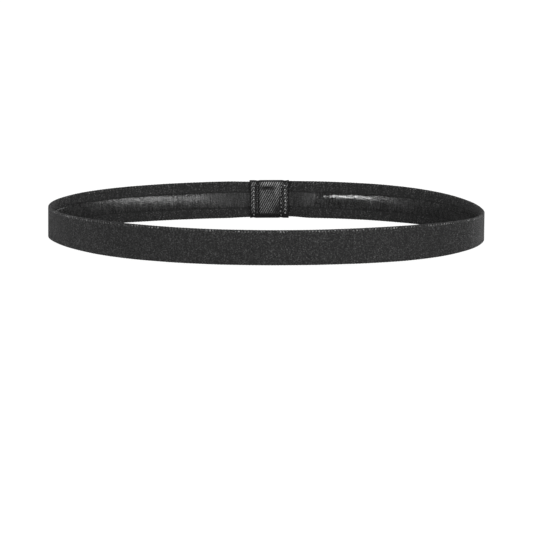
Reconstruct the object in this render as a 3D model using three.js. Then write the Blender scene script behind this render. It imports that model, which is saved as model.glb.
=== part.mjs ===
// A sports headband: one strip of woven elastic, closed into a loop by a sewn lap joint under a ribbon wrap,
// with a line of grip silicone along its inner face. Millimetres, +Z up. It stands on its lower edge. The
// front of the loop is towards -Y, and the joint is at the back, towards +Y.
import * as THREE from 'three';

// ---- Driving dimensions ----------------------------------------------------------------------------------

// The loop, along the middle of the webbing's thickness.
const LOOP_HALF_WIDTH = 88.8;
const LOOP_HALF_DEPTH = 57.8;
const MIDDLE_SHIFT = 3.8; // the front and the back are furthest out this far right of the loop's middle
const SIDE_SWAY = 5.8; // the right bend sits this far forward, and the left bend this far back
const LEAN = 2.3; // at the front and the back the upper edge stands this much further out than the lower one
const LEFT_DRAW_IN = 0.15; // the share of its height that the band loses at the middle of a side bend
const RIGHT_DRAW_IN = 0.22;
const DRAW_IN_FROM = 0.35; // where drawing in starts, as a share of the way from the middle to a side bend
const DRAW_IN_POWER = 3.5;

// The webbing: a face cloth and a back cloth, joined along both selvedges, with rubber cores between them.
const BAND_WIDTH = 15;
const WEBBING_THICKNESS = 1.3;
const SELVEDGE = 0.8;
const EDGE_CHAMFER = 0.35;
const CORE_SIZE = 0.4; // cut rubber thread is square
const CORE_COUNT = 12;
const CORE_CLEARANCE = 0.05;

// The grip silicone on the inner face.
const SILICONE_WIDTH = 6.2;
const SILICONE_DEPTH = 0.36;
const SILICONE_EDGE_DEPTH = 0.12;
const SILICONE_END_GAP = 0.5; // between its ends and the lapped webbing

// The lap joint and the ribbon wrapped round it.
const JOINT_OFFSET = -2.4; // the joint's middle, to the right of where the back is furthest out
const LAP_LENGTH = 12;
const LAP_EASE = 9; // the length over which each layer steps in or out beside the lap
const WRAP_OVERHANG = 2; // the ribbon covers the lap and this much more at each side
const RIBBON_THICKNESS = 0.3;
const WRAP_CORNER = 0.8;
const WRAP_START_BELOW_TOP = 1.4; // the ribbon's first end, on the inner face and under its last turn
const WRAP_END_ABOVE_BOTTOM = 1.7; // its last end, on the inner face too
const WRAP_PINCH = 0.5; // the height that the wrap squeezes out of the band
const WRAP_PINCH_EASE = 10; // the length over which the band springs back to its full height beside the wrap

// The sewing threads. Each seam has a needle thread on the inner face and a bobbin thread on the outer one.
const THREAD_DIAMETER = 0.3;
const ZIGZAG_WIDTH = 2;
const ZIGZAG_PITCH = 0.8;
const ZIGZAG_FLAT = 0.36; // the thread's length along the band's edge at each needle hole
const ZIGZAG_FROM_WRAP_EDGE = 2.3; // to the middle of the row
const ZIGZAG_END_MARGIN = 1.1;
const LAP_SEAM_HALF_SPACING = 3.6;
const LAP_SEAM_MARGIN = 2.2;

const SOFT_GAP = 0.08; // between layers that lie on each other

// How finely curves are cut into flats.
const LOOP_SEGMENTS = 56;
const EASE_SEGMENTS = 7;
const WRAP_SEGMENTS = 4;
const CORNER_SEGMENTS = 3;
const THREAD_SIDES = 6;

// ---- Sizes that follow from them -------------------------------------------------------------------------

const HALF_WEBBING = WEBBING_THICKNESS / 2;
const LAP_SHIFT = (WEBBING_THICKNESS + SOFT_GAP) / 2; // one layer goes in by this, the other out
const JOINT_HALF_THICKNESS = LAP_SHIFT + HALF_WEBBING;
const WRAP_WIDTH = LAP_LENGTH + 2 * WRAP_OVERHANG;
// The wrap clears the lap seam's thread and the silicone, whichever stands higher.
const WRAP_CLEARANCE = Math.max(THREAD_DIAMETER, SILICONE_DEPTH) + 2 * SOFT_GAP;
const WRAP_LIFT = RIBBON_THICKNESS + SOFT_GAP; // the band's lower edge rides up on the ribbon here
const PINCHED_WIDTH = BAND_WIDTH - WRAP_PINCH;
const WRAP_HEIGHT = PINCHED_WIDTH + 2 * WRAP_LIFT;
const JOINT_ANGLE = Math.acos(JOINT_OFFSET / LOOP_HALF_WIDTH);
const radiansAtBack = (length) => length / LOOP_HALF_WIDTH;

// ---- The loop's frame ------------------------------------------------------------------------------------

const fallOff = (distance, flat, ease) => 1 - THREE.MathUtils.smoothstep(distance, flat, flat + ease);

/** The loop's centreline point and outward normal at an angle, counter-clockwise from +X. */
function loopAt(angle) {
  const c = Math.cos(angle);
  const s = Math.sin(angle);
  const dx = (2 * MIDDLE_SHIFT * c - LOOP_HALF_WIDTH) * s;
  const dy = LOOP_HALF_DEPTH * c + 3 * SIDE_SWAY * c * c * s;
  const length = Math.hypot(dx, dy);
  return {
    x: LOOP_HALF_WIDTH * c + MIDDLE_SHIFT * s * s,
    y: LOOP_HALF_DEPTH * s - SIDE_SWAY * c ** 3,
    nx: dy / length,
    ny: -dx / length,
  };
}

/** A point on the frame: outward from the leaning centreline, and up from the ground. */
function placed(angle, outward, z) {
  const { x, y, nx, ny } = loopAt(angle);
  const out = outward + LEAN * Math.sin(angle) ** 2 * (z / BAND_WIDTH - 0.5);
  return new THREE.Vector3(x + nx * out, y + ny * out, z);
}

/** The length along the back from the joint's middle to a station on the strip, and its sign: -1 on the
 *  strip's first end, which lies inside, and 1 on its last, which lies outside. */
function fromJoint(angle) {
  const first = angle - JOINT_ANGLE < Math.PI;
  const turned = first ? angle - JOINT_ANGLE : angle - JOINT_ANGLE - 2 * Math.PI;
  return { distance: Math.abs(turned) * LOOP_HALF_WIDTH, side: first ? -1 : 1 };
}

/** How the strip stands at a station: its sideways shift, the height of its lower edge, and its height. */
function stripAt(angle) {
  const { distance, side } = fromJoint(angle);
  const c = Math.cos(angle);
  const bend = Math.max(0, (Math.abs(c) - DRAW_IN_FROM) / (1 - DRAW_IN_FROM)) ** DRAW_IN_POWER;
  const drawn = BAND_WIDTH * (c > 0 ? RIGHT_DRAW_IN : LEFT_DRAW_IN) * bend;
  const pinched = fallOff(distance, WRAP_WIDTH / 2, WRAP_PINCH_EASE);
  return {
    shift: side * LAP_SHIFT * fallOff(distance, WRAP_WIDTH / 2, LAP_EASE),
    lift: drawn / 2 + WRAP_LIFT * pinched,
    height: BAND_WIDTH - drawn - WRAP_PINCH * pinched,
  };
}

/** The strip's stations from one cut end, round the loop, to the other. margin is left off at each end. */
function stripStations(margin) {
  const cut = LAP_LENGTH / 2 - margin;
  const eased = WRAP_WIDTH / 2 + LAP_EASE;
  const turn = 2 * Math.PI;
  const spread = (from, to, count) =>
    Array.from({ length: count }, (_, i) => from + ((to - from) * i) / count);
  const start = JOINT_ANGLE - radiansAtBack(cut);
  const easeOut = JOINT_ANGLE + radiansAtBack(eased);
  const easeIn = JOINT_ANGLE + turn - radiansAtBack(eased);
  const end = JOINT_ANGLE + turn + radiansAtBack(cut);
  return [
    ...spread(start, easeOut, EASE_SEGMENTS),
    ...spread(easeOut, easeIn, LOOP_SEGMENTS),
    ...spread(easeIn, end, EASE_SEGMENTS),
    end,
  ];
}

// ---- Solids ----------------------------------------------------------------------------------------------

const inPlane = (outline) => outline.map(([o, z]) => new THREE.Vector2(o, z));

/** The outline, turned round where it has to be to run clockwise, or else counter-clockwise. */
function wound(outline, clockwise) {
  const runsClockwise = THREE.ShapeUtils.isClockWise(inPlane(outline));
  return runsClockwise === clockwise ? outline : [...outline].reverse();
}

/** A closed solid through rings of points. Each ring holds the section's outline, counter-clockwise as seen
 *  along the path, and then any hole in it; caps is the section in the plane, for the two ends. */
function loft(rings, caps) {
  const outline = inPlane(caps[0]);
  const holes = caps.slice(1).map(inPlane);
  const flat = [outline, ...holes].flat();
  const positions = rings.flat().flatMap((p) => [p.x, p.y, p.z]);
  const size = flat.length;
  const last = (rings.length - 1) * size;
  const index = [];
  let first = 0;
  for (const loop of [outline, ...holes]) {
    for (let ring = 0; ring < last; ring += size) {
      for (let i = 0; i < loop.length; i++) {
        const a = ring + first + i;
        const b = ring + first + ((i + 1) % loop.length);
        index.push(a, a + size, b + size, a, b + size, b);
      }
    }
    first += loop.length;
  }
  for (const [a, b, c] of THREE.ShapeUtils.triangulateShape(outline, holes)) {
    const area = flat[b].clone().sub(flat[a]).cross(flat[c].clone().sub(flat[a]));
    const [p, q, r] = area > 0 ? [a, b, c] : [a, c, b];
    index.push(p, q, r, last + p, last + r, last + q);
  }
  const geometry = new THREE.BufferGeometry();
  geometry.setAttribute('position', new THREE.Float32BufferAttribute(positions, 3));
  geometry.setIndex(index);
  geometry.computeVertexNormals();
  return geometry;
}

/** A section swept along the strip. Its outlines are [outward, height] points, on a band of full height.
 *  centre is the height that a small section keeps its own size about, and null lets it follow the band's. */
function alongStrip(sections, margin = 0, centre = null) {
  const wind = sections.map((outline, i) => wound(outline, i > 0));
  const rings = stripStations(margin).map((angle) => {
    const { shift, lift, height } = stripAt(angle);
    const share = height / BAND_WIDTH;
    const up = (z) => (centre === null ? z * share : centre * share + (z - centre));
    return wind.flat().map(([o, z]) => placed(angle, shift + o, lift + up(z)));
  });
  return loft(rings, wind);
}

/** A round thread along a polyline on the loop's frame, mitred at its corners. Points are
 *  {angle, outward, z}. */
function thread(points) {
  const path = points.map(({ angle, outward, z }) => placed(angle, outward, z));
  const section = Array.from({ length: THREAD_SIDES }, (_, i) => {
    const turn = (2 * Math.PI * (i + 0.5)) / THREAD_SIDES;
    return [(Math.cos(turn) * THREAD_DIAMETER) / 2, (Math.sin(turn) * THREAD_DIAMETER) / 2];
  });
  const rings = path.map((point, i) => {
    const { nx, ny } = loopAt(points[i].angle);
    const outward = new THREE.Vector3(nx, ny, 0);
    const before = point.clone().sub(path[i - 1] ?? point).normalize();
    const after = (path[i + 1] ?? point).clone().sub(point).normalize();
    const along = before.clone().add(after).normalize();
    const mitre = 1 / Math.max(along.dot(before), along.dot(after));
    const across = outward.clone().cross(along).normalize().multiplyScalar(mitre);
    return section.map(([o, s]) => point.clone().addScaledVector(outward, o).addScaledVector(across, s));
  });
  return loft(rings, [section]);
}

// ---- Pieces ----------------------------------------------------------------------------------------------

/** A rectangle with its four corners cut off. */
function chamferedBox(halfWidth, low, high, chamfer) {
  return [
    [-halfWidth + chamfer, low],
    [halfWidth - chamfer, low],
    [halfWidth, low + chamfer],
    [halfWidth, high - chamfer],
    [halfWidth - chamfer, high],
    [-halfWidth + chamfer, high],
    [-halfWidth, high - chamfer],
    [-halfWidth, low + chamfer],
  ];
}

const box = (halfWidth, low, high) => chamferedBox(halfWidth, low, high, 0).filter((_, i) => i % 2 === 0);

function webbing() {
  const cavity = box(CORE_SIZE / 2 + CORE_CLEARANCE, SELVEDGE, BAND_WIDTH - SELVEDGE);
  return alongStrip([chamferedBox(HALF_WEBBING, 0, BAND_WIDTH, EDGE_CHAMFER), cavity]);
}

function rubberCore(number) {
  const pitch = (BAND_WIDTH - 2 * SELVEDGE) / CORE_COUNT;
  const centre = SELVEDGE + pitch * (number + 0.5);
  return alongStrip([box(CORE_SIZE / 2, centre - CORE_SIZE / 2, centre + CORE_SIZE / 2)], 0, centre);
}

/** The silicone keeps off the lapped stretch, whose faces meet, at both of the strip's ends. */
function silicone() {
  const middle = BAND_WIDTH / 2;
  const half = SILICONE_WIDTH / 2;
  const base = -HALF_WEBBING - SOFT_GAP;
  const crown = half / 2;
  const outline = [
    [base, middle - half],
    [base, middle + half],
    [base - SILICONE_EDGE_DEPTH, middle + half],
    [base - SILICONE_DEPTH, middle + crown],
    [base - SILICONE_DEPTH, middle - crown],
    [base - SILICONE_EDGE_DEPTH, middle - half],
  ];
  return alongStrip([outline], LAP_LENGTH + SILICONE_END_GAP);
}

// The ribbon's centreline runs this far out from the loop's, and its last turn runs over its first.
const RIBBON_OUT = JOINT_HALF_THICKNESS + WRAP_CLEARANCE + RIBBON_THICKNESS / 2;
const RIBBON_OVER = RIBBON_OUT + RIBBON_THICKNESS + SOFT_GAP;

/** Points of a quarter turn about a centre, from one angle to another. */
function corner(centreOut, centreUp, fromDegrees, toDegrees) {
  return Array.from({ length: CORNER_SEGMENTS + 1 }, (_, i) => {
    const degrees = fromDegrees + ((toDegrees - fromDegrees) * i) / CORNER_SEGMENTS;
    const turn = THREE.MathUtils.degToRad(degrees);
    return [centreOut + WRAP_CORNER * Math.cos(turn), centreUp + WRAP_CORNER * Math.sin(turn)];
  });
}

/** The ribbon's centreline in section: down the inner face, under, up the outer one, and over onto itself. */
function ribbonPath() {
  const low = RIBBON_THICKNESS / 2;
  const high = WRAP_HEIGHT - RIBBON_THICKNESS / 2;
  const r = WRAP_CORNER;
  return [
    [-RIBBON_OUT, high - WRAP_START_BELOW_TOP],
    ...corner(-RIBBON_OUT + r, low + r, 180, 270),
    ...corner(RIBBON_OUT - r, low + r, 270, 360),
    ...corner(RIBBON_OUT - r, high - r, 0, 90),
    ...corner(-RIBBON_OVER + r, high - r, 90, 180),
    [-RIBBON_OVER, WRAP_END_ABOVE_BOTTOM],
  ];
}

/** A ribbon of the given thickness about a path in section. */
function ribbonOutline(path, thickness) {
  const side = (sign) =>
    path.map(([o, z], i) => {
      const here = new THREE.Vector2(o, z);
      const last = new THREE.Vector2(...(path[i - 1] ?? path[i]));
      const next = new THREE.Vector2(...(path[i + 1] ?? path[i]));
      const before = here.clone().sub(last).normalize();
      const after = next.sub(here).normalize();
      const along = before.clone().add(after).normalize();
      const mitre = 1 / Math.max(along.dot(before), along.dot(after));
      const reach = (sign * thickness * mitre) / 2;
      return [o - along.y * reach, z + along.x * reach];
    });
  return [...side(1), ...side(-1).reverse()];
}

function wrap() {
  const outline = wound(ribbonOutline(ribbonPath(), RIBBON_THICKNESS), false);
  const rings = Array.from({ length: WRAP_SEGMENTS + 1 }, (_, i) => {
    const along = WRAP_WIDTH * (i / WRAP_SEGMENTS - 0.5);
    const angle = JOINT_ANGLE + radiansAtBack(along);
    return outline.map(([o, z]) => placed(angle, o, z));
  });
  return loft(rings, [outline]);
}

/** How far out a thread on the wrap's inner face lies, stepping up onto the ribbon's last turn. */
function onInnerFace(z) {
  const full = WRAP_END_ABOVE_BOTTOM - THREAD_DIAMETER;
  const over = THREE.MathUtils.smoothstep(z, full - ZIGZAG_PITCH, full);
  const face = THREE.MathUtils.lerp(RIBBON_OUT, RIBBON_OVER, over) + RIBBON_THICKNESS / 2;
  return -(face + SOFT_GAP + THREAD_DIAMETER / 2);
}

const onOuterFace = () => RIBBON_OUT + RIBBON_THICKNESS / 2 + SOFT_GAP + THREAD_DIAMETER / 2;

/** A zigzag row up one side of the wrap. side is 1 on the left and -1 on the right, seen from the front. */
function zigzag(side, outwardAt) {
  const middle = side * (WRAP_WIDTH / 2 - ZIGZAG_FROM_WRAP_EDGE);
  const rise = WRAP_HEIGHT - 2 * ZIGZAG_END_MARGIN;
  const holes = Math.floor((rise - ZIGZAG_FLAT) / ZIGZAG_PITCH);
  const first = (WRAP_HEIGHT - holes * ZIGZAG_PITCH) / 2;
  const points = [];
  for (let hole = 0; hole <= holes; hole++) {
    const along = middle + ((hole % 2 === 0 ? 1 : -1) * ZIGZAG_WIDTH) / 2;
    for (const end of [-1, 1]) {
      const z = first + hole * ZIGZAG_PITCH + (end * ZIGZAG_FLAT) / 2;
      points.push({ angle: JOINT_ANGLE + radiansAtBack(along), outward: outwardAt(z), z });
    }
  }
  return thread(points);
}

/** The lap seam, up one row and down the other, on the inner (-1) or outer (1) face of the lapped webbing. */
function lapSeam(face) {
  const outward = face * (JOINT_HALF_THICKNESS + SOFT_GAP + THREAD_DIAMETER / 2);
  const low = WRAP_LIFT + LAP_SEAM_MARGIN;
  const high = WRAP_LIFT + PINCHED_WIDTH - LAP_SEAM_MARGIN;
  const corners = [
    [LAP_SEAM_HALF_SPACING, low],
    [LAP_SEAM_HALF_SPACING, high],
    [0, high],
    [-LAP_SEAM_HALF_SPACING, high],
    [-LAP_SEAM_HALF_SPACING, low],
  ];
  const points = corners.map(([along, z]) => ({ angle: JOINT_ANGLE + radiansAtBack(along), outward, z }));
  return thread(points);
}

// ---- Materials -------------------------------------------------------------------------------------------

const finish = (color, roughness, extra = {}) =>
  new THREE.MeshStandardMaterial({ color, roughness, metalness: 0, ...extra });

const blackCloth = finish(0x1d1d1f, 0.85);
const blackTwill = finish(0x2b2b2d, 0.55);
const blackThread = finish(0x2e2e30, 0.5);
const clearSilicone = finish(0x3a3a3c, 0.25, { transparent: true, opacity: 0.6 });
const rubber = finish(0x151515, 0.7);

// ---- The headband ----------------------------------------------------------------------------------------

const headband = new THREE.Group();

function add(name, geometry, material) {
  const mesh = new THREE.Mesh(geometry, material);
  mesh.name = name;
  headband.add(mesh);
}

add('elastic_webbing', webbing(), blackCloth);
for (let i = 0; i < CORE_COUNT; i++) {
  add(`rubber_core_${String(i + 1).padStart(2, '0')}`, rubberCore(i), rubber);
}
add('silicone_grip', silicone(), clearSilicone);
add('joint_wrap_ribbon', wrap(), blackTwill);
add('lap_seam_needle_thread', lapSeam(-1), blackThread);
add('lap_seam_bobbin_thread', lapSeam(1), blackThread);
for (const [name, side] of [['left', 1], ['right', -1]]) {
  add(`wrap_zigzag_${name}_needle_thread`, zigzag(side, onInnerFace), blackThread);
  add(`wrap_zigzag_${name}_bobbin_thread`, zigzag(side, onOuterFace), blackThread);
}

// The origin is on the ground, in the middle of the space that the headband takes up.
const centre = new THREE.Box3().setFromObject(headband).getCenter(new THREE.Vector3());
for (const mesh of headband.children) mesh.position.set(-centre.x, -centre.y, 0);

export default headband;
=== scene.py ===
"""A relaxed sports headband: ribbed elastic cloth, a line of clear grip silicone inside it, and a ribbon sewn
round its lap joint.

The loop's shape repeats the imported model's own sizes, in millimetres, and its place comes from the frame.
Meshes are worked out in millimetres and written in metres.
"""

import math

import bpy
import numpy as np
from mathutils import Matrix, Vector


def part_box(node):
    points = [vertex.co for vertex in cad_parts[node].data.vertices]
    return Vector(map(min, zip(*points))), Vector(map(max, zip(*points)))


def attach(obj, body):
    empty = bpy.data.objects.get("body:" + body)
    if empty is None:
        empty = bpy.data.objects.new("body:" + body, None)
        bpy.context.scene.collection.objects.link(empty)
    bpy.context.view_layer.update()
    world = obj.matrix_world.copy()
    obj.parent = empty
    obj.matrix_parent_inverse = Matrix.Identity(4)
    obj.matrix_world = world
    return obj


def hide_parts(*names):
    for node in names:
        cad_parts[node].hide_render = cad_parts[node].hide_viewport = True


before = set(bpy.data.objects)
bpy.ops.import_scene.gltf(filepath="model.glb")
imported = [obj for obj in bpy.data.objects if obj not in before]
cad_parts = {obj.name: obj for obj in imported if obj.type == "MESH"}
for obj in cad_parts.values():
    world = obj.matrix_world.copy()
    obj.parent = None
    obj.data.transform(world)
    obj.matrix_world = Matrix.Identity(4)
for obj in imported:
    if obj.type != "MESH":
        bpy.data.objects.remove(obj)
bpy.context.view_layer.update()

MM = 0.001
RANDOM = np.random.default_rng(20)

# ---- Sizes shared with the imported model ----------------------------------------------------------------

LOOP_HALF_WIDTH = 88.8
LOOP_HALF_DEPTH = 57.8
MIDDLE_SHIFT = 3.8  # the front and the back are furthest out this far right of the loop's middle
SIDE_SWAY = 5.8  # the right bend sits this far forward, and the left bend this far back
LEAN = 2.3  # at the front and the back the upper edge stands this much further out than the lower one
LEFT_DRAW_IN = 0.15  # the share of its height that the band loses at the middle of a side bend
RIGHT_DRAW_IN = 0.22
DRAW_IN_FROM = 0.35  # where drawing in starts, as a share of the way from the middle to a side bend
DRAW_IN_POWER = 3.5

BAND_WIDTH = 15.0
WEBBING_THICKNESS = 1.3

SILICONE_WIDTH = 6.2
SILICONE_DEPTH = 0.36
SILICONE_END_GAP = 0.5  # between its ends and the lapped webbing

JOINT_OFFSET = -2.4  # the joint's middle, to the right of where the back is furthest out
LAP_LENGTH = 12.0
LAP_EASE = 9.0  # the length over which each layer steps in or out beside the lap
WRAP_OVERHANG = 2.0  # the ribbon covers the lap and this much more at each side
RIBBON_THICKNESS = 0.3
WRAP_CORNER = 0.8
WRAP_START_BELOW_TOP = 1.4  # the ribbon's first end, on the inner face and under its last turn
WRAP_END_ABOVE_BOTTOM = 1.7  # its last end, on the inner face too
WRAP_PINCH = 0.5  # the height that the wrap squeezes out of the band
WRAP_PINCH_EASE = 10.0  # the length over which the band springs back to its full height beside the wrap

THREAD_DIAMETER = 0.3
ZIGZAG_WIDTH = 2.0
ZIGZAG_PITCH = 0.8
ZIGZAG_FLAT = 0.36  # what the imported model's thread takes up of the row's height at each needle hole
ZIGZAG_FROM_WRAP_EDGE = 2.3  # to the middle of the row
ZIGZAG_END_MARGIN = 1.1

SOFT_GAP = 0.08  # between layers that lie on each other

HALF_WEBBING = WEBBING_THICKNESS / 2
LAP_SHIFT = (WEBBING_THICKNESS + SOFT_GAP) / 2  # one layer goes in by this, the other out
WRAP_WIDTH = LAP_LENGTH + 2 * WRAP_OVERHANG
WRAP_CLEARANCE = max(THREAD_DIAMETER, SILICONE_DEPTH) + 2 * SOFT_GAP
WRAP_LIFT = RIBBON_THICKNESS + SOFT_GAP  # the band's lower edge rides up on the ribbon by this
WRAP_HEIGHT = BAND_WIDTH - WRAP_PINCH + 2 * WRAP_LIFT
RIBBON_OUT = LAP_SHIFT + HALF_WEBBING + WRAP_CLEARANCE + RIBBON_THICKNESS / 2
RIBBON_OVER = RIBBON_OUT + RIBBON_THICKNESS + SOFT_GAP
JOINT_ANGLE = math.acos(JOINT_OFFSET / LOOP_HALF_WIDTH)

# ---- Sizes of the fine surface ---------------------------------------------------------------------------

CURVE_SAMPLES = 12001  # points that the strip's length is measured with
PICK_PITCH = 0.65  # one crosswise yarn of the webbing to the next
PICK_SAMPLES = 3  # stations of the mesh to each of them
PICK_HEIGHTS = 0.5, 1.0  # a yarn's own height, as a share of a full one's, is between these
RIB_HEIGHT = 0.04
FACE_COLUMNS = 16
EDGE_COLUMNS = 5
SELVEDGE_ROUNDING = 0.25
PICOT_PITCH = 2 * PICK_PITCH  # every other crosswise yarn turns back in a small loop at the selvedge
PICOT_HEIGHT = 0.1
PICOT_SHARPNESS = 1.5
DRIFT = 0.14  # how far the relaxed loop wanders off its even line
TWIST = 0.2  # how far its upper edge wanders in or out against its lower one

SILICONE_SAMPLE = 0.33
SILICONE_COLUMNS = 22
SILICONE_FULLNESS = 1.5  # 2 is a round section, and 1 is a flatter one with thin edges
SILICONE_WANDER = 0.07
SILICONE_UNEVENNESS = 0.08  # the share of its depth that it gains or loses along the way

# Slow waves along the strip. Each is a length and a phase.
DRIFT_WAVES = (71, 0.4), (43, 2.0), (19, 4.1)
TWIST_WAVES = (113, 1.0), (53, 3.2)
SILICONE_WIDTH_WAVES = (23, 0.3), (9.7, 2.2), (5.3, 4.0)
SILICONE_MIDDLE_WAVES = (31, 1.1), (13, 3.0)
SILICONE_DEPTH_WAVES = (4.1, 0.5), (2.3, 1.4), (17, 3.3)

TWILL_PITCH = 0.8
TWILL_RISE = math.radians(60)  # above level, seen from inside the loop
TWILL_DEPTH = 0.12
TWILL_MARGIN = 0.12, 0.45  # the twill starts, and reaches its full height, this far from the ribbon's edge
RIBBON_SAMPLE = 0.135
ARC_POINTS = 13
FOOT_CORNER = 1.4  # the ribbon turns under the band this gently on the inner side
STITCH_GROOVE = 0.18
STITCH_GROOVE_HALF_WIDTH = 0.26
STITCH_FLATTENING = 0.9  # the share of the twill's height that a stitch presses flat, which also draws it dark as painted shade

THREAD_TWIST = 1.1  # the length over which the thread's two plies go round once
PLY_WAIST = 0.72  # the thread's width between its plies, as a share of its full width
THREAD_RINGS = 12  # from one needle hole to the next
THREAD_SIDES = 12
STITCH_DIP = 0.2
STITCH_ARCH = 0.1
KNOT_SWELL = 1.3
KNOT_REACH = 0.13  # as a share of the way to the next needle hole
LEFT_UNEVENNESS = 0.06  # how far off its even place a needle hole of the left row is, to its left or right
RIGHT_UNEVENNESS = 0.13
PITCH_UNEVENNESS = 0.05


# ---- The loop and the strip ----------------------------------------------------------------------------

def smoothstep(x, low, high):
    """0 below low and 1 above high, with a smooth rise between them."""
    t = np.clip((x - low) / (high - low), 0, 1)
    return t * t * (3 - 2 * t)


def fall_off(distance, flat, ease):
    """1 up to a distance, and a smooth fall to 0 over the ease beyond it."""
    return 1 - smoothstep(distance, flat, flat + ease)


def bell(distance, reach):
    """1 in the middle, about a third at the reach, and next to nothing at twice the reach."""
    return np.exp(-((distance / reach) ** 2))


def dome(x, y, x_at, y_at, x_reach, y_reach):
    return bell(x - x_at, x_reach) * bell(y - y_at, y_reach)


def loop_curve(angle):
    """The loop's centreline and its outward normal, about the loop's own middle."""
    c, s = np.cos(angle), np.sin(angle)
    dx = (2 * MIDDLE_SHIFT * c - LOOP_HALF_WIDTH) * s
    dy = LOOP_HALF_DEPTH * c + 3 * SIDE_SWAY * c * c * s
    x = LOOP_HALF_WIDTH * c + MIDDLE_SHIFT * s * s
    point = np.stack([x, LOOP_HALF_DEPTH * s - SIDE_SWAY * c**3], -1)
    normal = np.stack([dy, -dx], -1) / np.hypot(dx, dy)[..., None]
    return point, normal


def loop_place():
    """The loop's own middle in the frame: the loop's left and front extremes are the webbing's there."""
    angle = np.radians(np.linspace(0, 360, 3601))  # every tenth of a degree
    point, normal = loop_curve(angle)
    reach = HALF_WEBBING + LEAN / 2 * np.sin(angle) ** 2
    lowest = (point + normal * reach[:, None]).min(0)
    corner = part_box("elastic_webbing")[0]
    return np.array([corner.x / MM, corner.y / MM]) - lowest


LOOP_PLACE = loop_place()


def from_joint(angle):
    """The length from the joint's middle, and the side: -1 on the strip's first, inner end, 1 on its last."""
    first = angle - JOINT_ANGLE < math.pi
    turned = np.where(first, angle - JOINT_ANGLE, angle - JOINT_ANGLE - 2 * math.pi)
    return np.abs(turned) * LOOP_HALF_WIDTH, np.where(first, -1, 1)


def place(angle, outward, z):
    """Points in the frame, in millimetres: outward from the leaning centreline, and up from the ground."""
    point, normal = loop_curve(angle)
    reach = outward + LEAN * np.sin(angle) ** 2 * (z / BAND_WIDTH - 0.5)
    xy = point + LOOP_PLACE + normal * reach[..., None]
    return np.concatenate([xy, z[..., None]], -1)


def wander(distance, waves):
    """An uneven wave along the strip, within -1 and 1, as the mean of even ones."""
    return sum(np.sin(2 * math.pi * distance / length + phase) for length, phase in waves) / len(waves)


def strip_stations(step, margin=0.0):
    """Stations along the strip, about a step apart: lengths from its first cut end, and angles round the
    loop. margin is left off at each end."""
    reach = (LAP_LENGTH / 2 - margin) / LOOP_HALF_WIDTH
    fine = np.linspace(JOINT_ANGLE - reach, JOINT_ANGLE + 2 * math.pi + reach, CURVE_SAMPLES)
    point, _ = loop_curve(fine)
    length = np.concatenate([[0], np.cumsum(np.hypot(*np.diff(point, axis=0).T))])
    count = round(length[-1] / step)
    along = np.linspace(0, length[-1], count + 1)
    return along + margin, np.interp(along, length, fine)


STRIP_LENGTH = strip_stations(1.0)[0][-1]


def on_strip(along, angle, outward, z):
    """Points on the strip, one row a station, from places in its flat section: outward and up."""
    distance, side = from_joint(angle)
    c = np.cos(angle)
    bend = np.clip((np.abs(c) - DRAW_IN_FROM) / (1 - DRAW_IN_FROM), 0, None) ** DRAW_IN_POWER
    drawn = BAND_WIDTH * np.where(c > 0, RIGHT_DRAW_IN, LEFT_DRAW_IN) * bend
    pinched = fall_off(distance, WRAP_WIDTH / 2, WRAP_PINCH_EASE)
    share = (BAND_WIDTH - drawn - WRAP_PINCH * pinched) / BAND_WIDTH
    lift = drawn / 2 + WRAP_LIFT * pinched
    shift = side * LAP_SHIFT * fall_off(distance, WRAP_WIDTH / 2, LAP_EASE)
    free = 1 - fall_off(distance, WRAP_WIDTH / 2, WRAP_PINCH_EASE)
    shift = shift + free * DRIFT * wander(along, DRIFT_WAVES)
    twist = free * TWIST * wander(along, TWIST_WAVES)
    tilt = twist[:, None] * (z / BAND_WIDTH - 0.5)
    return place(
        np.broadcast_to(angle[:, None], outward.shape),
        shift[:, None] + tilt + outward,
        lift[:, None] + z * share[:, None],
    )


# ---- Meshes --------------------------------------------------------------------------------------------

def ring_faces(rings, size):
    """Quads between rings of points, and a face over each end."""
    ring, i = np.meshgrid(np.arange(rings - 1), np.arange(size), indexing="ij")
    a, b = ring * size + i, ring * size + (i + 1) % size
    quads = np.stack([a, a + size, b + size, b], -1).reshape(-1, 4).tolist()
    last = (rings - 1) * size
    return quads + [list(range(size)), list(range(last + size - 1, last - 1, -1))]


def sheet_faces(rows, columns):
    """Quads of a thin solid: a grid in front, a grid behind it, and the strips that join their edges."""
    row, column = np.meshgrid(np.arange(rows - 1), np.arange(columns - 1), indexing="ij")
    a = row * columns + column
    front = np.stack([a, a + 1, a + 1 + columns, a + columns], -1).reshape(-1, 4)
    behind = front[:, ::-1] + rows * columns
    grid = np.arange(rows * columns).reshape(rows, columns)
    rim = np.concatenate([grid[0, :-1], grid[:-1, -1], grid[-1, :0:-1], grid[:0:-1, 0]])
    following = np.roll(rim, -1)
    edge = np.stack([following, rim, rim + rows * columns, following + rows * columns], -1)
    return np.concatenate([front, behind, edge]).tolist()


def volume(mesh):
    """Six times the volume that the mesh closes in, and below 0 if its faces look inward."""
    mesh.calc_loop_triangles()
    corners = np.zeros(len(mesh.loop_triangles) * 3, np.int32)
    mesh.loop_triangles.foreach_get("vertices", corners)
    points = np.zeros(len(mesh.vertices) * 3)
    mesh.vertices.foreach_get("co", points)
    a, b, c = points.reshape(-1, 3)[corners.reshape(-1, 3)].transpose(1, 0, 2)
    return float(np.einsum("ij,ij->i", a, np.cross(b, c)).sum())


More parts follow.
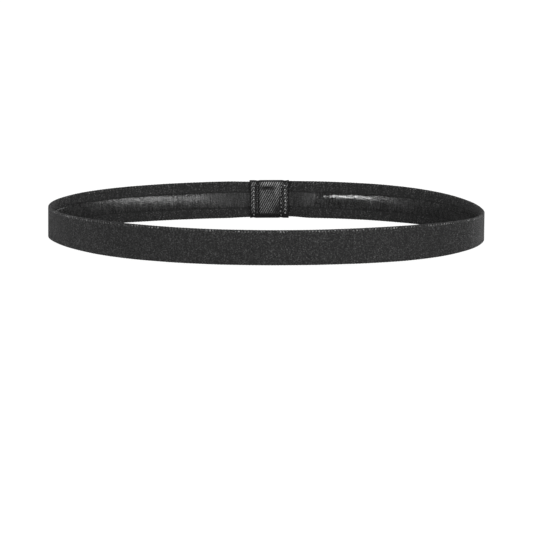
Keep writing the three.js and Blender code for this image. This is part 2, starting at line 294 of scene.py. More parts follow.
def add_piece(name, points, faces, material, stands_for, cloth):
    """A smooth mesh of points in millimetres, riding on the frame. cloth is what the material knows of each
    point, such as its place in the flat cloth."""
    mesh = bpy.data.meshes.new(name)
    mesh.from_pydata((points.reshape(-1, 3) * MM).tolist(), [], faces)
    mesh.polygons.foreach_set("use_smooth", np.ones(len(mesh.polygons), bool))
    layer = mesh.attributes.new("cloth", "FLOAT_VECTOR", "POINT")
    layer.data.foreach_set("vector", cloth.reshape(-1).astype(np.float32))
    if volume(mesh) < 0:
        mesh.flip_normals()
    mesh.materials.append(material)
    piece = bpy.data.objects.new(name, mesh)
    bpy.context.scene.collection.objects.link(piece)
    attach(piece, "root")
    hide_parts(stands_for)
    return piece


# ---- Materials -----------------------------------------------------------------------------------------

class Finish:
    """A material round one Principled shader, with short ways to add the nodes that drive it."""

    def __init__(self, name, **constants):
        self.material = bpy.data.materials.new(name)
        self.material.use_nodes = True
        self.tree = self.material.node_tree
        self.shader = self.tree.nodes["Principled BSDF"]
        for socket, value in constants.items():
            self.shader.inputs[socket.replace("_", " ")].default_value = value

    def link(self, value, socket):
        """Drives a socket with another, or sets it to a number."""
        if isinstance(value, bpy.types.NodeSocket):
            self.tree.links.new(value, socket)
        else:
            socket.default_value = value

    def math(self, operation, *values):
        node = self.tree.nodes.new("ShaderNodeMath")
        node.operation = operation
        for value, socket in zip(values, node.inputs):
            self.link(value, socket)
        return node.outputs[0]

    def product(self, value, *others):
        for other in others:
            value = self.math("MULTIPLY", value, other)
        return value

    def total(self, value, *others):
        for other in others:
            value = self.math("ADD", value, other)
        return value

    def place(self, attribute=None):
        """Coordinates in millimetres: the named attribute, or the object's own."""
        if attribute:
            node = self.tree.nodes.new("ShaderNodeAttribute")
            node.attribute_name = attribute
            return node.outputs["Vector"]
        node = self.tree.nodes.new("ShaderNodeTexCoord")
        scale = self.tree.nodes.new("ShaderNodeVectorMath")
        scale.operation = "SCALE"
        scale.inputs["Scale"].default_value = 1 / MM
        self.tree.links.new(node.outputs["Object"], scale.inputs[0])
        return scale.outputs[0]

    def parts(self, vector):
        node = self.tree.nodes.new("ShaderNodeSeparateXYZ")
        self.tree.links.new(vector, node.inputs[0])
        return node.outputs

    def noise(self, vector, size, detail=2.0):
        """Noise from about 0 to 1 with features of a size in millimetres."""
        node = self.tree.nodes.new("ShaderNodeTexNoise")
        node.inputs["Scale"].default_value = 1 / size
        node.inputs["Detail"].default_value = detail
        self.tree.links.new(vector, node.inputs["Vector"])
        return node.outputs["Fac"]

    def cells(self, vector):
        """Distances from the middles of scattered cells about one unit apart: 0 in a cell's middle."""
        node = self.tree.nodes.new("ShaderNodeTexVoronoi")
        node.inputs["Scale"].default_value = 1.0
        self.tree.links.new(vector, node.inputs["Vector"])
        return node.outputs["Distance"]

    def stretched(self, vector, x, y, z):
        node = self.tree.nodes.new("ShaderNodeVectorMath")
        node.operation = "MULTIPLY"
        node.inputs[1].default_value = (x, y, z)
        self.tree.links.new(vector, node.inputs[0])
        return node.outputs[0]

    def wave(self, place, pitch):
        return self.math("SINE", self.math("MULTIPLY", place, 2 * math.pi / pitch))

    def spread(self, value, low, high, start, end):
        """Takes a value from the range low to high to the range start to end, held at its ends."""
        node = self.tree.nodes.new("ShaderNodeMapRange")
        self.tree.links.new(value, node.inputs["Value"])
        for name, number in zip(("From Min", "From Max", "To Min", "To Max"), (low, high, start, end)):
            self.link(number, node.inputs[name])
        return node.outputs["Result"]

    def from_noise(self, noise, start, end, reach=0.15):
        """Takes noise to the range start to end. Its own values lie mostly within reach of a half."""
        return self.spread(noise, 0.5 - reach, 0.5 + reach, start, end)

    def grey(self, value):
        node = self.tree.nodes.new("ShaderNodeCombineColor")
        for socket in node.inputs:
            self.link(value, socket)
        return node.outputs["Color"]

    def bump(self, height, depth):
        """Bump of a depth in millimetres where height goes from 0 to 1."""
        node = self.tree.nodes.new("ShaderNodeBump")
        node.inputs["Distance"].default_value = depth * MM
        self.tree.links.new(height, node.inputs["Height"])
        self.tree.links.new(node.outputs["Normal"], self.shader.inputs["Normal"])

    def drive(self, socket, value):
        self.tree.links.new(value, self.shader.inputs[socket])


# The cloth's look. A shade is a base colour, and two of them are the darkest and the lightest. What changes a
# shade is a share of it. Loops and ribs are counts per millimetre along the strip, up it and through it.
CLOTH_SHADES = 0.005, 0.068
CLOTH_BLACK = 0.003  # added to all of them
CLOTH_GRAIN = 0.5
CLOTH_LOOPS = 1.5, 1.8, 1.0
LOOP_CHANGE = 1.6, 0.3  # in a loop's middle, and between loops
CLOTH_RIBS = 1.5, 0.35, 1.0
RIB_CHANGE = 0.7, 1.3
CLOTH_PATCHES = 9.0
PATCH_CHANGE = 0.9, 1.1
CLOTH_ROUGHNESS = 0.7, 0.95
CLOTH_RELIEF = 0.18
# painted shade: the cloth's back, inside the band, is drawn this much darker
BACK_PAINTED_SHADE = 0.85
BACK_CONTRAST = 2.0  # the power that deepens the knit there
BESIDE_SILICONE = 0.1, 0.6  # how far from its edge the shadow beside it starts to fade, and ends
SHADOW = 0.9
PICOT_PATCHES = 4.0
PICOT_HIGHLIGHT = 0.6, 8.0  # painted highlight, from a dull patch to a bright one
# the painted highlight's share on the cloth's back
PICOT_HIGHLIGHT_ON_BACK = 0.3
PICOT_DOWN = 0.1, 0.4, 0.7, 1.1  # below the selvedge: their painted highlight is faint, full from here to here, and gone


def painted_picot_highlight(finish, place, inside):
    """How much brighter a painted highlight makes the small loops along the upper selvedge, in patches."""
    along, up, _ = finish.parts(place)
    top, full_from, full_to, foot = [BAND_WIDTH - down for down in PICOT_DOWN]
    loops = finish.spread(finish.wave(along, PICOT_PITCH), -0.2, 0.9, 0.0, 1.0)
    over = finish.spread(up, full_from, top, 1.0, 0.2)
    below = finish.spread(up, foot, full_to, 0.0, 1.0)
    patches = finish.spread(finish.noise(place, PICOT_PATCHES), 0.42, 0.62, *PICOT_HIGHLIGHT)
    face = finish.spread(inside, 0.0, 1.0, 1.0, PICOT_HIGHLIGHT_ON_BACK)
    return finish.total(finish.product(loops, below, over, face, patches), 1.0)


def silicone_shadow(finish, place, inside):
    """What is left of the light on the cloth beside the silicone."""
    up = finish.parts(place)[1]
    from_middle = finish.math("ABSOLUTE", finish.math("SUBTRACT", up, BAND_WIDTH / 2))
    start, end = [SILICONE_WIDTH / 2 + distance for distance in BESIDE_SILICONE]
    shadow = finish.spread(from_middle, start, end, SHADOW, 0.0)
    return finish.math("SUBTRACT", 1.0, finish.product(shadow, inside))


def cloth_finish():
    """Matte black elastic. Its knit is too fine to see loop by loop, and shows as a grain with crosswise
    ribs. On its back, inside the band, the knit is deeper, and a painted shade makes it darker. Painted
    highlights brighten the small loops along its upper selvedge."""
    finish = Finish("black_elastic", Sheen_Weight=0.1, Sheen_Roughness=0.5, Sheen_Tint=(0.8, 0.8, 0.82, 1))
    place = finish.place("cloth")
    outward = finish.parts(place)[2]
    inside = finish.spread(outward, -HALF_WEBBING / 2, HALF_WEBBING / 2, 1.0, 0.0)
    loops = finish.cells(finish.stretched(place, *CLOTH_LOOPS))
    ribs = finish.noise(finish.stretched(place, *CLOTH_RIBS), 1.0)
    grain = finish.noise(place, CLOTH_GRAIN, detail=1.0)
    knit = finish.product(finish.spread(loops, 0.1, 0.7, *LOOP_CHANGE), finish.from_noise(ribs, *RIB_CHANGE))
    shade = finish.product(
        finish.math("POWER", knit, finish.spread(inside, 0.0, 1.0, 1.0, BACK_CONTRAST)),
        finish.from_noise(grain, *CLOTH_SHADES),
        finish.from_noise(finish.noise(place, CLOTH_PATCHES), *PATCH_CHANGE, reach=0.2),
        # painted shade on the back, inside the band
        finish.spread(inside, 0.0, 1.0, 1.0, BACK_PAINTED_SHADE),
        silicone_shadow(finish, place, inside),
        painted_picot_highlight(finish, place, inside),
    )
    finish.drive("Base Color", finish.grey(finish.total(shade, CLOTH_BLACK)))
    finish.drive("Roughness", finish.from_noise(grain, *CLOTH_ROUGHNESS, reach=0.2))
    relief = finish.total(grain, finish.product(ribs, 0.5), finish.product(loops, -0.5))
    finish.bump(relief, CLOTH_RELIEF)
    return finish.material


# The silicone's look. AFTER_FIRST and BEFORE_LAST are lengths from the strip's first or last cut end: where a
# change starts and where it's done.
SILICONE_SHADES = 0.014, 0.07
SILICONE_RIBS = 1.6, 0.25, 1.0
SHOW_THROUGH = 0.4, 1.6  # how the ribs below change the shade
SILICONE_GRAIN = 0.5
SILICONE_LUMPS = 2.8
SILICONE_RELIEF = 0.11
RIPPLED_ROUGHNESS = 0.21
SMOOTH_ROUGHNESS = 0.07
SMOOTH_RIPPLES = 0.3  # what is left of the ripples on the smooth part
UNEVEN_ROUGHNESS = -0.03, 0.08
RIPPLED_BEFORE_LAST = 36.0, 60.0
DULL_AFTER_FIRST = 12.0, 36.0
DULL_BEFORE_LAST = 18.0, 26.4
FIRST_DULLNESS = 0.6
LAST_DULLNESS = 0.8


def silicone_finish():
    """Clear silicone over black cloth: the ribs below show through it and leave ripples in its gloss. Its
    skin is smooth near the strip's last end, but dull beside the joint."""
    finish = Finish("clear_silicone", IOR=1.41)
    place = finish.place("cloth")
    along = finish.parts(place)[0]
    to_last = finish.math("SUBTRACT", STRIP_LENGTH, along)
    ribs = finish.noise(finish.stretched(place, *SILICONE_RIBS), 1.0)
    lumps = finish.noise(place, SILICONE_LUMPS)
    grain = finish.noise(place, SILICONE_GRAIN)
    seen_ribs = finish.from_noise(ribs, *SHOW_THROUGH, reach=0.2)
    shade = finish.product(finish.from_noise(grain, *SILICONE_SHADES), seen_ribs)
    finish.drive("Base Color", finish.grey(shade))
    rippled = finish.spread(to_last, *RIPPLED_BEFORE_LAST, 0.0, 1.0)
    roughness = finish.total(
        finish.spread(rippled, 0.0, 1.0, SMOOTH_ROUGHNESS, RIPPLED_ROUGHNESS),
        finish.spread(along, *DULL_AFTER_FIRST, FIRST_DULLNESS, 0.0),
        finish.spread(to_last, *DULL_BEFORE_LAST, LAST_DULLNESS, 0.0),
        finish.from_noise(lumps, *UNEVEN_ROUGHNESS),
    )
    finish.drive("Roughness", roughness)
    ripples = finish.total(ribs, finish.product(grain, 0.8))
    ripples = finish.product(ripples, finish.spread(rippled, 0.0, 1.0, SMOOTH_RIPPLES, 1.0))
    finish.bump(finish.total(ripples, finish.product(lumps, 0.5)), SILICONE_RELIEF)
    return finish.material


# The ribbon's look: sizes in millimetres, and shades as the cloth's.
YARN_ACROSS = 0.21
YARN_ALONG = 0.24
YARN_SHADE = 0.001
RIBBON_FUZZ = 0.45
# painted sheen: the floats' shade, from their dullest to their brightest
FLOAT_SHEEN_SHADES = 0.1, 0.42
RIBBON_PATCHES = 2.2
RIBBON_PATCH_CHANGE = 0.65, 1.35
RIBBON_BLACK = 0.002
RIBBON_ROUGHNESS = 0.9, 0.42  # in the valleys, and on the ridges
RIBBON_RELIEF = 0.06


def ribbon_finish():
    """Black twill ribbon. Its floats are glossy and lie in diagonals, with dark valleys between them. A
    painted sheen lightens the floats and painted shade darkens the valleys.
    """
    finish = Finish("black_twill", Sheen_Weight=0.1, Sheen_Roughness=0.35, Sheen_Tint=(0.85, 0.85, 0.87, 1))
    place = finish.place("cloth")
    left, path, ridge = finish.parts(place)
    yarns = finish.product(finish.wave(left, YARN_ACROSS), finish.wave(path, YARN_ALONG))
    fuzz = finish.noise(place, RIBBON_FUZZ)
    # painted sheen on the floats, and painted shade near black where the ridge value is low
    floats = finish.product(
        ridge,
        ridge,
        finish.from_noise(fuzz, *FLOAT_SHEEN_SHADES),
        finish.from_noise(finish.noise(place, RIBBON_PATCHES), *RIBBON_PATCH_CHANGE),
    )
    shade = finish.total(floats, finish.product(yarns, YARN_SHADE), RIBBON_BLACK)
    finish.drive("Base Color", finish.grey(shade))
    finish.drive("Roughness", finish.spread(ridge, 0.0, 1.0, *RIBBON_ROUGHNESS))
    finish.bump(finish.total(fuzz, finish.product(yarns, 0.3)), RIBBON_RELIEF)
    return finish.material


# The thread's look.
FIBRE_SIZE = 0.14
FIBRE_CHANGE = 0.6, 1.4
FIBRE_ROUGHNESS = 0.22, 0.4
FIBRE_RELIEF = 0.03
THREAD_SHADE_AND_KNOT_HIGHLIGHT = 0.03, 0.7  # its shade where it lies flat, and a painted highlight in a knot
FULL_KNOT = 0.8


def thread_finish():
    """Black polyester thread. It is glossy along its fibres, and a painted highlight makes it lightest where
    it stands up in a knot.
    """
    finish = Finish("black_thread", Sheen_Weight=0.1, Sheen_Roughness=0.3)
    knot = finish.parts(finish.place("cloth"))[2]
    fibres = finish.noise(finish.place(), FIBRE_SIZE, detail=3.0)
    # painted highlight on the knots
    shade = finish.spread(knot, 0.0, FULL_KNOT, *THREAD_SHADE_AND_KNOT_HIGHLIGHT)
    shade = finish.product(shade, finish.from_noise(fibres, *FIBRE_CHANGE, reach=0.2))
    finish.drive("Base Color", finish.grey(shade))
    finish.drive("Roughness", finish.from_noise(fibres, *FIBRE_ROUGHNESS, reach=0.2))
    finish.bump(fibres, FIBRE_RELIEF)
    return finish.material


# The rubber's look.
DUST_SIZE = 0.3
RUBBER_SHADES = 0.012, 0.03
RUBBER_ROUGHNESS = 0.55, 0.85
RUBBER_RELIEF = 0.02


def rubber_finish():
    """Dusty black rubber thread."""
    finish = Finish("core_rubber")
    dust = finish.noise(finish.place(), DUST_SIZE)
    finish.drive("Base Color", finish.grey(finish.from_noise(dust, *RUBBER_SHADES, reach=0.2)))
    finish.drive("Roughness", finish.from_noise(dust, *RUBBER_ROUGHNESS, reach=0.2))
    finish.bump(dust, RUBBER_RELIEF)
    return finish.material


# ---- The webbing ---------------------------------------------------------------------------------------

def webbing_section():
    """The flat section's outline as columns: how far outward and up, and its own normal, outward and up."""
    low, top = PICOT_HEIGHT, BAND_WIDTH
    rise = np.linspace(low + SELVEDGE_ROUNDING, top - SELVEDGE_ROUNDING, FACE_COLUMNS)
    turn = np.radians(np.linspace(0, 180, EDGE_COLUMNS + 2)[1:-1])
    face = np.ones(FACE_COLUMNS)
    level = np.zeros(FACE_COLUMNS)
    across, round_up = -np.cos(turn), np.sin(turn)
    under = SELVEDGE_ROUNDING * (1 - round_up)
    up = np.concatenate([rise, top - under, rise[::-1], low + under])
    normal_out = np.concatenate([-face, across, face, -across])
    normal_up = np.concatenate([level, round_up, level, -round_up])
    return normal_out * HALF_WEBBING, up, normal_out, normal_up


def add_webbing(material):
    along, angle = strip_stations(PICK_PITCH / PICK_SAMPLES)
    outward, up, normal_out, normal_up = webbing_section()
    picks = RANDOM.uniform(*PICK_HEIGHTS, len(along) // PICK_SAMPLES + 2)
    pick = np.interp(along / PICK_PITCH, np.arange(len(picks)), picks)
    rib = RIB_HEIGHT * pick * np.cos(2 * math.pi * along / PICK_PITCH)
    picot = PICOT_HEIGHT * pick * np.abs(np.sin(math.pi * along / PICOT_PITCH)) ** PICOT_SHARPNESS
    relief = rib[:, None] * (1 - np.abs(normal_up)) + picot[:, None] * np.abs(normal_up)
    flat_outward = outward + normal_out * relief
    flat_up = up + normal_up * relief
    points = on_strip(along, angle, flat_outward, flat_up)
    cloth = np.stack(np.broadcast_arrays(along[:, None], up, flat_outward), -1)
    faces = ring_faces(len(along), len(up))
    return add_piece("webbing_cloth", points, faces, material, "elastic_webbing", cloth)


# ---- The silicone line ---------------------------------------------------------------------------------

def add_silicone(material):
    along, angle = strip_stations(SILICONE_SAMPLE, LAP_LENGTH + SILICONE_END_GAP)
    t = np.sin(np.linspace(-math.pi / 2, math.pi / 2, SILICONE_COLUMNS))
    crown = (1 - t * t) ** (1 / SILICONE_FULLNESS)
    half = SILICONE_WIDTH / 2 + SILICONE_WANDER * wander(along, SILICONE_WIDTH_WAVES)
    middle = BAND_WIDTH / 2 + SILICONE_WANDER * wander(along, SILICONE_MIDDLE_WAVES)
    depth = SILICONE_DEPTH * (1 + SILICONE_UNEVENNESS * wander(along, SILICONE_DEPTH_WAVES))
    outward = -HALF_WEBBING - SOFT_GAP - depth[:, None] * crown
    up = middle[:, None] + half[:, None] * t
    points = on_strip(along, angle, outward, up)
    cloth = np.stack(np.broadcast_arrays(along[:, None], up, outward), -1)
    faces = ring_faces(len(along), SILICONE_COLUMNS)
    return add_piece("silicone_line", points, faces, material, "silicone_grip", cloth)


# ---- The ribbon wrap -----------------------------------------------------------------------------------

def arc(outward, up, radius, start, end):
    turn = np.radians(np.linspace(start, end, ARC_POINTS))
    return np.stack([outward + radius * np.cos(turn), up + radius * np.sin(turn)], -1)


def ribbon_path():
    """The ribbon's middle line in section, evenly spaced from its first end to its last: its length so far,
    its points, the normals that face away from the cloth, and the lengths at which its stretches end."""
    low, high = RIBBON_THICKNESS / 2, WRAP_HEIGHT - RIBBON_THICKNESS / 2
    r, foot = WRAP_CORNER, FOOT_CORNER
    stretches = [
        [[-RIBBON_OUT, high - WRAP_START_BELOW_TOP]],
        arc(-RIBBON_OUT + foot, low + foot, foot, 180, 270),
        arc(RIBBON_OUT - r, low + r, r, 270, 360),
        arc(RIBBON_OUT - r, high - r, r, 0, 90),
        arc(-RIBBON_OVER + r, high - r, r, 90, 180),
        [[-RIBBON_OVER, WRAP_END_ABOVE_BOTTOM]],
    ]
    corners = np.concatenate(stretches)
    length = np.concatenate([[0], np.cumsum(np.hypot(*np.diff(corners, axis=0).T))])
    ends = length[np.cumsum([len(stretch) for stretch in stretches]) - 1]
    path = np.linspace(0, length[-1], round(length[-1] / RIBBON_SAMPLE) + 1)
    points = np.stack([np.interp(path, length, corners[:, i]) for i in (0, 1)], -1)
    tangent = np.gradient(points, path, axis=0)
    normal = np.stack([tangent[:, 1], -tangent[:, 0]], -1)
    return path, points, normal / np.linalg.norm(normal, axis=1)[:, None], ends


# Places on the wrap's inner face: how far left and how far up the middle is, and its reach each way.
DENT = 1.0, WRAP_HEIGHT - 2.6, 2.8, 0.75
# a spot of painted shade, with no hollow in the shape
SHADE_SPOT = -3.6, 3.6, 2.2, 2.6
# two spots of painted highlight
TOP_HIGHLIGHT_SPOT = 0.0, WRAP_HEIGHT - 0.7, 6.0, 1.0
SIDE_HIGHLIGHT_SPOT = -3.2, WRAP_HEIGHT - 3.0, 0.8, 2.2
SLANT_FOLD = -2.6, WRAP_HEIGHT - 3.0, 0.6, 3.0
TOP_RIDGE = 0.4, WRAP_HEIGHT - 2.0, 3.0, 0.6

# The last turn's heights off the cloth there, and the lengths over which each comes and goes.
PANEL_HALF_WIDTH = WRAP_WIDTH / 2 - ZIGZAG_FROM_WRAP_EDGE - ZIGZAG_WIDTH / 2  # up to the rows of stitches
PUFF = 0.25  # everywhere between the rows, and as much again in the middle of the height
PUFF_AT_FOOT = -1.0, 3.5
PUFF_AT_TOP = 2.5, 0.3
PUFF_AT_LEFT = 0.7, 0.15
PUFF_AT_RIGHT = 1.2
DENT_DEPTH = 0.45
SLANT_FOLD_HEIGHT = 0.3
SLANT = 0.35  # how far to the right this fold goes for each millimetre up
TOP_RIDGE_HEIGHT = 0.2
END_LIFT = 0.3
END_LIFT_EASE = 1.4
EDGE_SINK = 0.7
EDGE_SINK_EASE = 1.2

# Painted highlights and painted shade: how much lighter or darker each place is than the ribbon on the whole,
# as a share of the twill's height.
TOP_HIGHLIGHT = 0.7
SIDE_HIGHLIGHT = 0.7
DENT_SHADE = 0.95
SHADE_SPOT_DARKNESS = 0.75
END_SHADOW_HEIGHT = 1.3  # painted shadow under the ribbon's last end, which fades out over this height above it

# The creases beside the rows: the left one is straight, and the right one winds. Both sink into the ribbon,
# and painted shade draws them near black.
CREASE_HALF_WIDTH = 0.3
CREASE_WINDING = 0.45
CREASE_WINDING_LENGTH = 9
RIGHT_CREASE = 0.8  # its depth against the left one's


def ribbon_slack(left, up):
    """How far the ribbon's last turn stands off the cloth on the inner face. It puffs between the two rows of
    stitches, dents and folds below its top edge, and lifts at its cut end; its right edge, with no webbing
    close behind it, sinks. left is towards the left row."""
    foot_from, foot_to = [WRAP_END_ABOVE_BOTTOM + height for height in PUFF_AT_FOOT]
    top_from, top_to = [WRAP_HEIGHT - depth for depth in PUFF_AT_TOP]
    left_from, left_to = [PANEL_HALF_WIDTH - width for width in PUFF_AT_LEFT]
    between = smoothstep(left, -PANEL_HALF_WIDTH, -PANEL_HALF_WIDTH + PUFF_AT_RIGHT)
    between = between * (1 - smoothstep(left, left_from, left_to))
    body = smoothstep(up, foot_from, foot_to) * (1 - smoothstep(up, top_from, top_to))
    slack = PUFF * (1 + body) - DENT_DEPTH * dome(left, up, *DENT)
    slack += SLANT_FOLD_HEIGHT * dome(left + SLANT * (up - WRAP_HEIGHT), up, *SLANT_FOLD)
    slack += TOP_RIDGE_HEIGHT * dome(left, up, *TOP_RIDGE)
    slack += END_LIFT * fall_off(up, WRAP_END_ABOVE_BOTTOM, END_LIFT_EASE)
    sunk = EDGE_SINK * smoothstep(-left, WRAP_WIDTH / 2 - EDGE_SINK_EASE, WRAP_WIDTH / 2)
    return np.clip(slack, 0, None) * between - sunk


def stitch_groove(left, up):
    """1 along the two zigzag rows, where the stitches sink into the ribbon, and 0 away from them."""
    groove = np.zeros_like(left)
    slope = ZIGZAG_PITCH / math.hypot(ZIGZAG_PITCH, ZIGZAG_WIDTH)
    for side in (1, -1):
        hole_left, hole_up, _ = zigzag_holes(side)
        away = (left - np.interp(up, hole_up, hole_left)) * slope
        groove = np.maximum(groove, bell(away, STITCH_GROOVE_HALF_WIDTH))
    return groove


def creases(left, up):
    """1 along the crease beside the left row, less along the one beside the right row, and 0 elsewhere."""
    winding = CREASE_WINDING * np.sin(2 * math.pi * up / CREASE_WINDING_LENGTH)
    left_crease = bell(left - PANEL_HALF_WIDTH, CREASE_HALF_WIDTH)
    return left_crease + RIGHT_CREASE * bell(left + PANEL_HALF_WIDTH + winding, CREASE_HALF_WIDTH)


def twill(left, path):
    """How high the twill is, from 0 in its valleys and along the selvedges to 1 on its ridges."""
    across = -left * math.sin(TWILL_RISE) + path * math.cos(TWILL_RISE)
    ridge = 0.5 + 0.5 * np.cos(2 * math.pi * across / TWILL_PITCH)
    return ridge * smoothstep(WRAP_WIDTH / 2 - np.abs(left), *TWILL_MARGIN)


def painted_light_and_shade(left, up):
    """Painted highlights where the last turn's folds are, less painted shade in its dent, at a shaded spot
    and under its last end.
    """
    painted_highlight = TOP_HIGHLIGHT * dome(left, up, *TOP_HIGHLIGHT_SPOT) + SIDE_HIGHLIGHT * dome(left, up, *SIDE_HIGHLIGHT_SPOT)
    painted_shade = DENT_SHADE * dome(left, up, *DENT) + SHADE_SPOT_DARKNESS * dome(left, up, *SHADE_SPOT)
    end_shadow = 1 - smoothstep(up, WRAP_END_ABOVE_BOTTOM, WRAP_END_ABOVE_BOTTOM + END_SHADOW_HEIGHT)
    return painted_highlight - np.maximum(painted_shade, end_shadow)


def add_ribbon(material):
    """The ribbon as a thin solid. Its twill fades in under the band and fades out along the wrap's top, and
    painted shade draws it near black where it has none.
    """
    path_line, section, normal, ends = ribbon_path()
    _, under_from, outside_from, top_from, inside_from, _ = ends
    columns = round(WRAP_WIDTH / RIBBON_SAMPLE) + 1
    left, path = np.meshgrid(np.linspace(-WRAP_WIDTH / 2, WRAP_WIDTH / 2, columns), path_line)
    up = np.broadcast_to(section[:, 1:], left.shape)
    last_turn = smoothstep(path, inside_from, inside_from + 2 * WRAP_CORNER)
    over_top = smoothstep(path, inside_from - 1.5 * WRAP_CORNER, inside_from - 0.5 * WRAP_CORNER)
    on_top = smoothstep(path, top_from - WRAP_CORNER, top_from) * (1 - over_top)
    # painted shade: the first turn, up to under the band, and the wrap's top are drawn dark
    clear_of_painted_shade = smoothstep(path, under_from, outside_from) * (1 - on_top)
    slack = ribbon_slack(left, up) * last_turn
    groove = stitch_groove(left, up)
    crease = creases(left, up) * last_turn
    # painted shade: the stitch grooves, the creases, the first turn and the wrap's top are drawn near black
    ridge = twill(left, path) * (1 - STITCH_FLATTENING * groove) * (1 - crease) * clear_of_painted_shade
    # painted highlights and painted shade on the last turn
    ridge = ridge * (1 + painted_light_and_shade(left, up) * over_top)
    angle = JOINT_ANGLE + left / LOOP_HALF_WIDTH

    def surface(height):
        """The ribbon's surface at a height over its middle, away from the cloth."""
        reach = height + slack
        outward = section[:, :1] + normal[:, :1] * reach
        raised = np.maximum(section[:, 1:] + normal[:, 1:] * reach, 0)
        return place(angle, outward, raised)

    sunk = TWILL_DEPTH * (1 - ridge) / 2 + STITCH_GROOVE * np.maximum(groove, crease)
    outer = surface(RIBBON_THICKNESS / 2 - sunk)
    inner = surface(np.full_like(ridge, -RIBBON_THICKNESS / 2))
    cloth = np.stack([left, path, ridge], -1)
    return add_piece(
        "joint_ribbon",
        np.stack([outer, inner]),
        sheet_faces(len(path_line), columns),
        material,
        "joint_wrap_ribbon",
        np.stack([cloth, cloth]),
    )


# ---- The stitches --------------------------------------------------------------------------------------

def tube(path, radius, outward):
    """Rings of a two-ply thread along a path: its section has a waist between its plies, and turns as it
    goes. outward is the loop's outward direction at each point."""
    tangent = np.gradient(path, axis=0)
    tangent /= np.linalg.norm(tangent, axis=1)[:, None]
    side = np.cross(tangent, outward)
    side /= np.linalg.norm(side, axis=1)[:, None]
    up = np.cross(side, tangent)
    length = np.concatenate([[0], np.cumsum(np.linalg.norm(np.diff(path, axis=0), axis=1))])
    turn = np.linspace(0, 2 * math.pi, THREAD_SIDES, endpoint=False)
    ply = turn[None, :] - 2 * math.pi * length[:, None] / THREAD_TWIST
    reach = radius[:, None] * (PLY_WAIST + (1 - PLY_WAIST) * np.abs(np.cos(ply)))
    across = side[:, None, :] * np.cos(turn)[None, :, None] + up[:, None, :] * np.sin(turn)[None, :, None]
    return path[:, None, :] + across * reach[..., None]


def zigzag_holes(side):
    """The needle holes of one row: how far left of the joint's middle, how far up, and whether they are on
    the row's outer side. side is 1 for the left row and -1 for the right one, which is sewn less evenly."""
    middle = side * (WRAP_WIDTH / 2 - ZIGZAG_FROM_WRAP_EDGE)
    rise = WRAP_HEIGHT - 2 * ZIGZAG_END_MARGIN
    holes = math.floor((rise - ZIGZAG_FLAT) / ZIGZAG_PITCH)
    first = (WRAP_HEIGHT - holes * ZIGZAG_PITCH) / 2
    number = np.arange(holes + 1)
    turn = np.where(number % 2 == 0, 1, -1)
    random = np.random.default_rng(5 + side)
    unevenness = LEFT_UNEVENNESS if side > 0 else RIGHT_UNEVENNESS
    left = middle + turn * ZIGZAG_WIDTH / 2 + random.normal(0, unevenness, holes + 1)
    up = first + number * ZIGZAG_PITCH + random.normal(0, PITCH_UNEVENNESS, holes + 1)
    return left, up, turn == side


def inner_face(up):
    """Where the wrap's inner face is, with the step down below the ribbon's last end."""
    full = WRAP_END_ABOVE_BOTTOM - THREAD_DIAMETER
    over = smoothstep(up, full - ZIGZAG_PITCH, full)
    return -(RIBBON_OUT + (RIBBON_OVER - RIBBON_OUT) * over + RIBBON_THICKNESS / 2)


def outer_face(up):
    return np.full_like(up, RIBBON_OUT + RIBBON_THICKNESS / 2)


def add_zigzag(name, side, face, knots, material):
    """One row of zigzag stitches on one face. The thread dips at each needle hole. knots is how much of a
    knot it has there, from 0 to 1, along the row's outer edge and along its inner one."""
    left, up, at_edge = zigzag_holes(side)
    t = np.linspace(0, len(left) - 1, (len(left) - 1) * THREAD_RINGS + 1)
    number = np.arange(len(left))
    to_hole = np.abs(t - np.round(t))
    swell = np.where(at_edge, *knots)
    knot = np.interp(np.round(t), number, swell) * bell(to_hole, KNOT_REACH)
    across = np.interp(t, number, left)
    height = np.interp(t, number, up)
    rise = np.sin(math.pi * to_hole) ** 0.5 * (STITCH_DIP + STITCH_ARCH) - STITCH_DIP * (1 - knot)
    surface = face(height)
    outward = surface + np.sign(surface) * (THREAD_DIAMETER / 2 + rise)
    angle = JOINT_ANGLE + across / LOOP_HALF_WIDTH
    path = place(angle, outward, height)
    _, normal = loop_curve(angle)
    normal = np.concatenate([normal, np.zeros((len(t), 1))], -1)
    rings = tube(path, THREAD_DIAMETER / 2 * (1 + KNOT_SWELL * knot), normal)
    cloth = np.zeros_like(rings)
    cloth[..., 2] = knot[:, None]  # thread_finish reads it from here
    faces = ring_faces(len(t), THREAD_SIDES)
    return add_piece(name.replace("wrap_", ""), rings, faces, material, name, cloth)


# ---- The stage -----------------------------------------------------------------------------------------

VIEW_ELEVATION = math.radians(10.05)
VIEW_WIDTH = 0.2187
VIEW_DISTANCE = 8.0
VIEW_RIGHT = 0.0002  # how far the picture's middle lies right of the loop's middle
VIEW_DROP = 0.0103  # and how far below it
LIGHT_DISTANCE = 0.9
FLOOR_WIDTH = 8.0
FLOOR_GLOW = 0.97
ROOM_GLOW = 0.16


def add_camera():
    """Level with the world's X axis and looking along +Y, a little down. It is so far off that the view has
    next to no perspective."""
    data = bpy.data.cameras.new("camera")
    data.lens = data.sensor_width * VIEW_DISTANCE / VIEW_WIDTH
    middle = Vector((LOOP_PLACE[0], LOOP_PLACE[1], 0)) * MM
    right = Vector((1, 0, 0))
    back = Vector((0, -math.cos(VIEW_ELEVATION), math.sin(VIEW_ELEVATION)))
    up = back.cross(right)
    camera = bpy.data.objects.new("camera", data)
    camera.location = middle + right * VIEW_RIGHT - up * VIEW_DROP + back * VIEW_DISTANCE
    camera.rotation_euler = (math.pi / 2 - VIEW_ELEVATION, 0, 0)
    bpy.context.scene.collection.objects.link(camera)
    bpy.context.scene.camera = camera


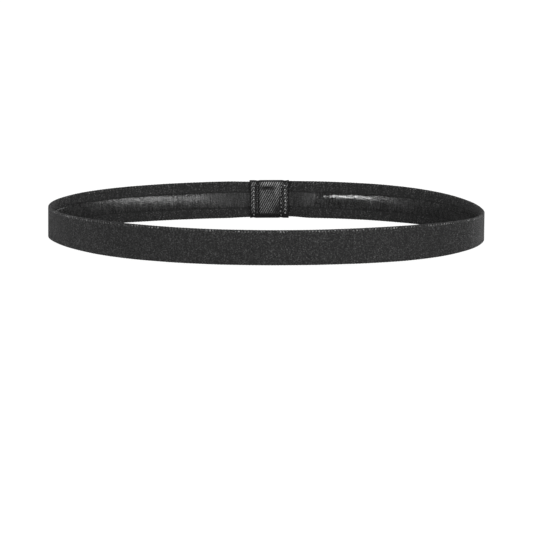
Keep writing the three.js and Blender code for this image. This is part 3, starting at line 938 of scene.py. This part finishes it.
def add_light(name, azimuth, elevation, size, power, glossy):
    """A soft box that faces the band. Azimuth 0 is on the camera's side, and 90 is to its right. size is its
    width and height in metres. A glossy light only makes reflections, and any other only lights what is
    matte."""
    a, e = math.radians(azimuth), math.radians(elevation)
    towards = Vector((math.sin(a) * math.cos(e), -math.cos(a) * math.cos(e), math.sin(e)))
    data = bpy.data.lights.new(name, "AREA")
    data.shape = "RECTANGLE"
    data.size, data.size_y = size
    data.energy = power
    light = bpy.data.objects.new(name, data)
    light.location = towards * LIGHT_DISTANCE
    light.rotation_euler = towards.to_track_quat("Z", "Y").to_euler()
    light.visible_camera = False
    light.visible_glossy = glossy
    light.visible_diffuse = not glossy
    bpy.context.scene.collection.objects.link(light)


def add_floor():
    """A white paper floor, lit on its own as a studio's background is: its glow doesn't reach the band."""
    mesh = bpy.data.meshes.new("floor")
    half = FLOOR_WIDTH / 2
    corners = [(-half, -half, 0), (half, -half, 0), (half, half, 0), (-half, half, 0)]
    mesh.from_pydata(corners, [], [(0, 1, 2, 3)])
    finish = Finish(
        "white_paper",
        Base_Color=(0.15, 0.15, 0.15, 1),
        Roughness=0.9,
        Emission_Color=(1, 1, 1, 1),
        Emission_Strength=FLOOR_GLOW,
    )
    mesh.materials.append(finish.material)
    floor = bpy.data.objects.new("floor", mesh)
    floor.visible_diffuse = False
    floor.visible_glossy = False
    bpy.context.scene.collection.objects.link(floor)


def light_room():
    world = bpy.data.worlds.new("white_room")
    world.use_nodes = True
    background = world.node_tree.nodes["Background"]
    background.inputs["Color"].default_value = (1, 1, 1, 1)
    background.inputs["Strength"].default_value = ROOM_GLOW
    bpy.context.scene.world = world
    add_light("front_fill", 12, 8, (1.2, 0.1), 4.7, glossy=False)
    add_light("right_side", 128, 1.8, (0.4, 0.045), 8.0, glossy=False)
    add_light("left_side", -112, 1.8, (0.4, 0.045), 5.4, glossy=False)
    add_light("top_box", 180, 75, (0.8, 0.5), 1.8, glossy=False)
    add_light("right_box", 41, 16, (0.5, 0.1), 4.2, glossy=True)
    add_light("left_box", -36, 18, (0.4, 0.045), 3.3, glossy=True)
    add_light("right_back", 135, 8, (0.3, 0.2), 0.9, glossy=True)
    bpy.context.scene.view_settings.view_transform = "Standard"


# ---- Everything together -------------------------------------------------------------------------------

add_camera()
thread = thread_finish()
rubber = rubber_finish()
add_webbing(cloth_finish())
add_silicone(silicone_finish())
add_ribbon(ribbon_finish())
for row, side, knots in (("left", 1, (1.0, 0.2)), ("right", -1, (1.0, 0.8))):
    add_zigzag(f"wrap_zigzag_{row}_needle_thread", side, inner_face, knots, thread)
    add_zigzag(f"wrap_zigzag_{row}_bobbin_thread", side, outer_face, (0.0, 0.0), thread)
for name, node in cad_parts.items():
    if name.startswith("rubber_core"):
        node.data.materials[0] = rubber
    elif name.startswith("lap_seam"):
        node.data.materials[0] = thread
add_floor()
light_room()
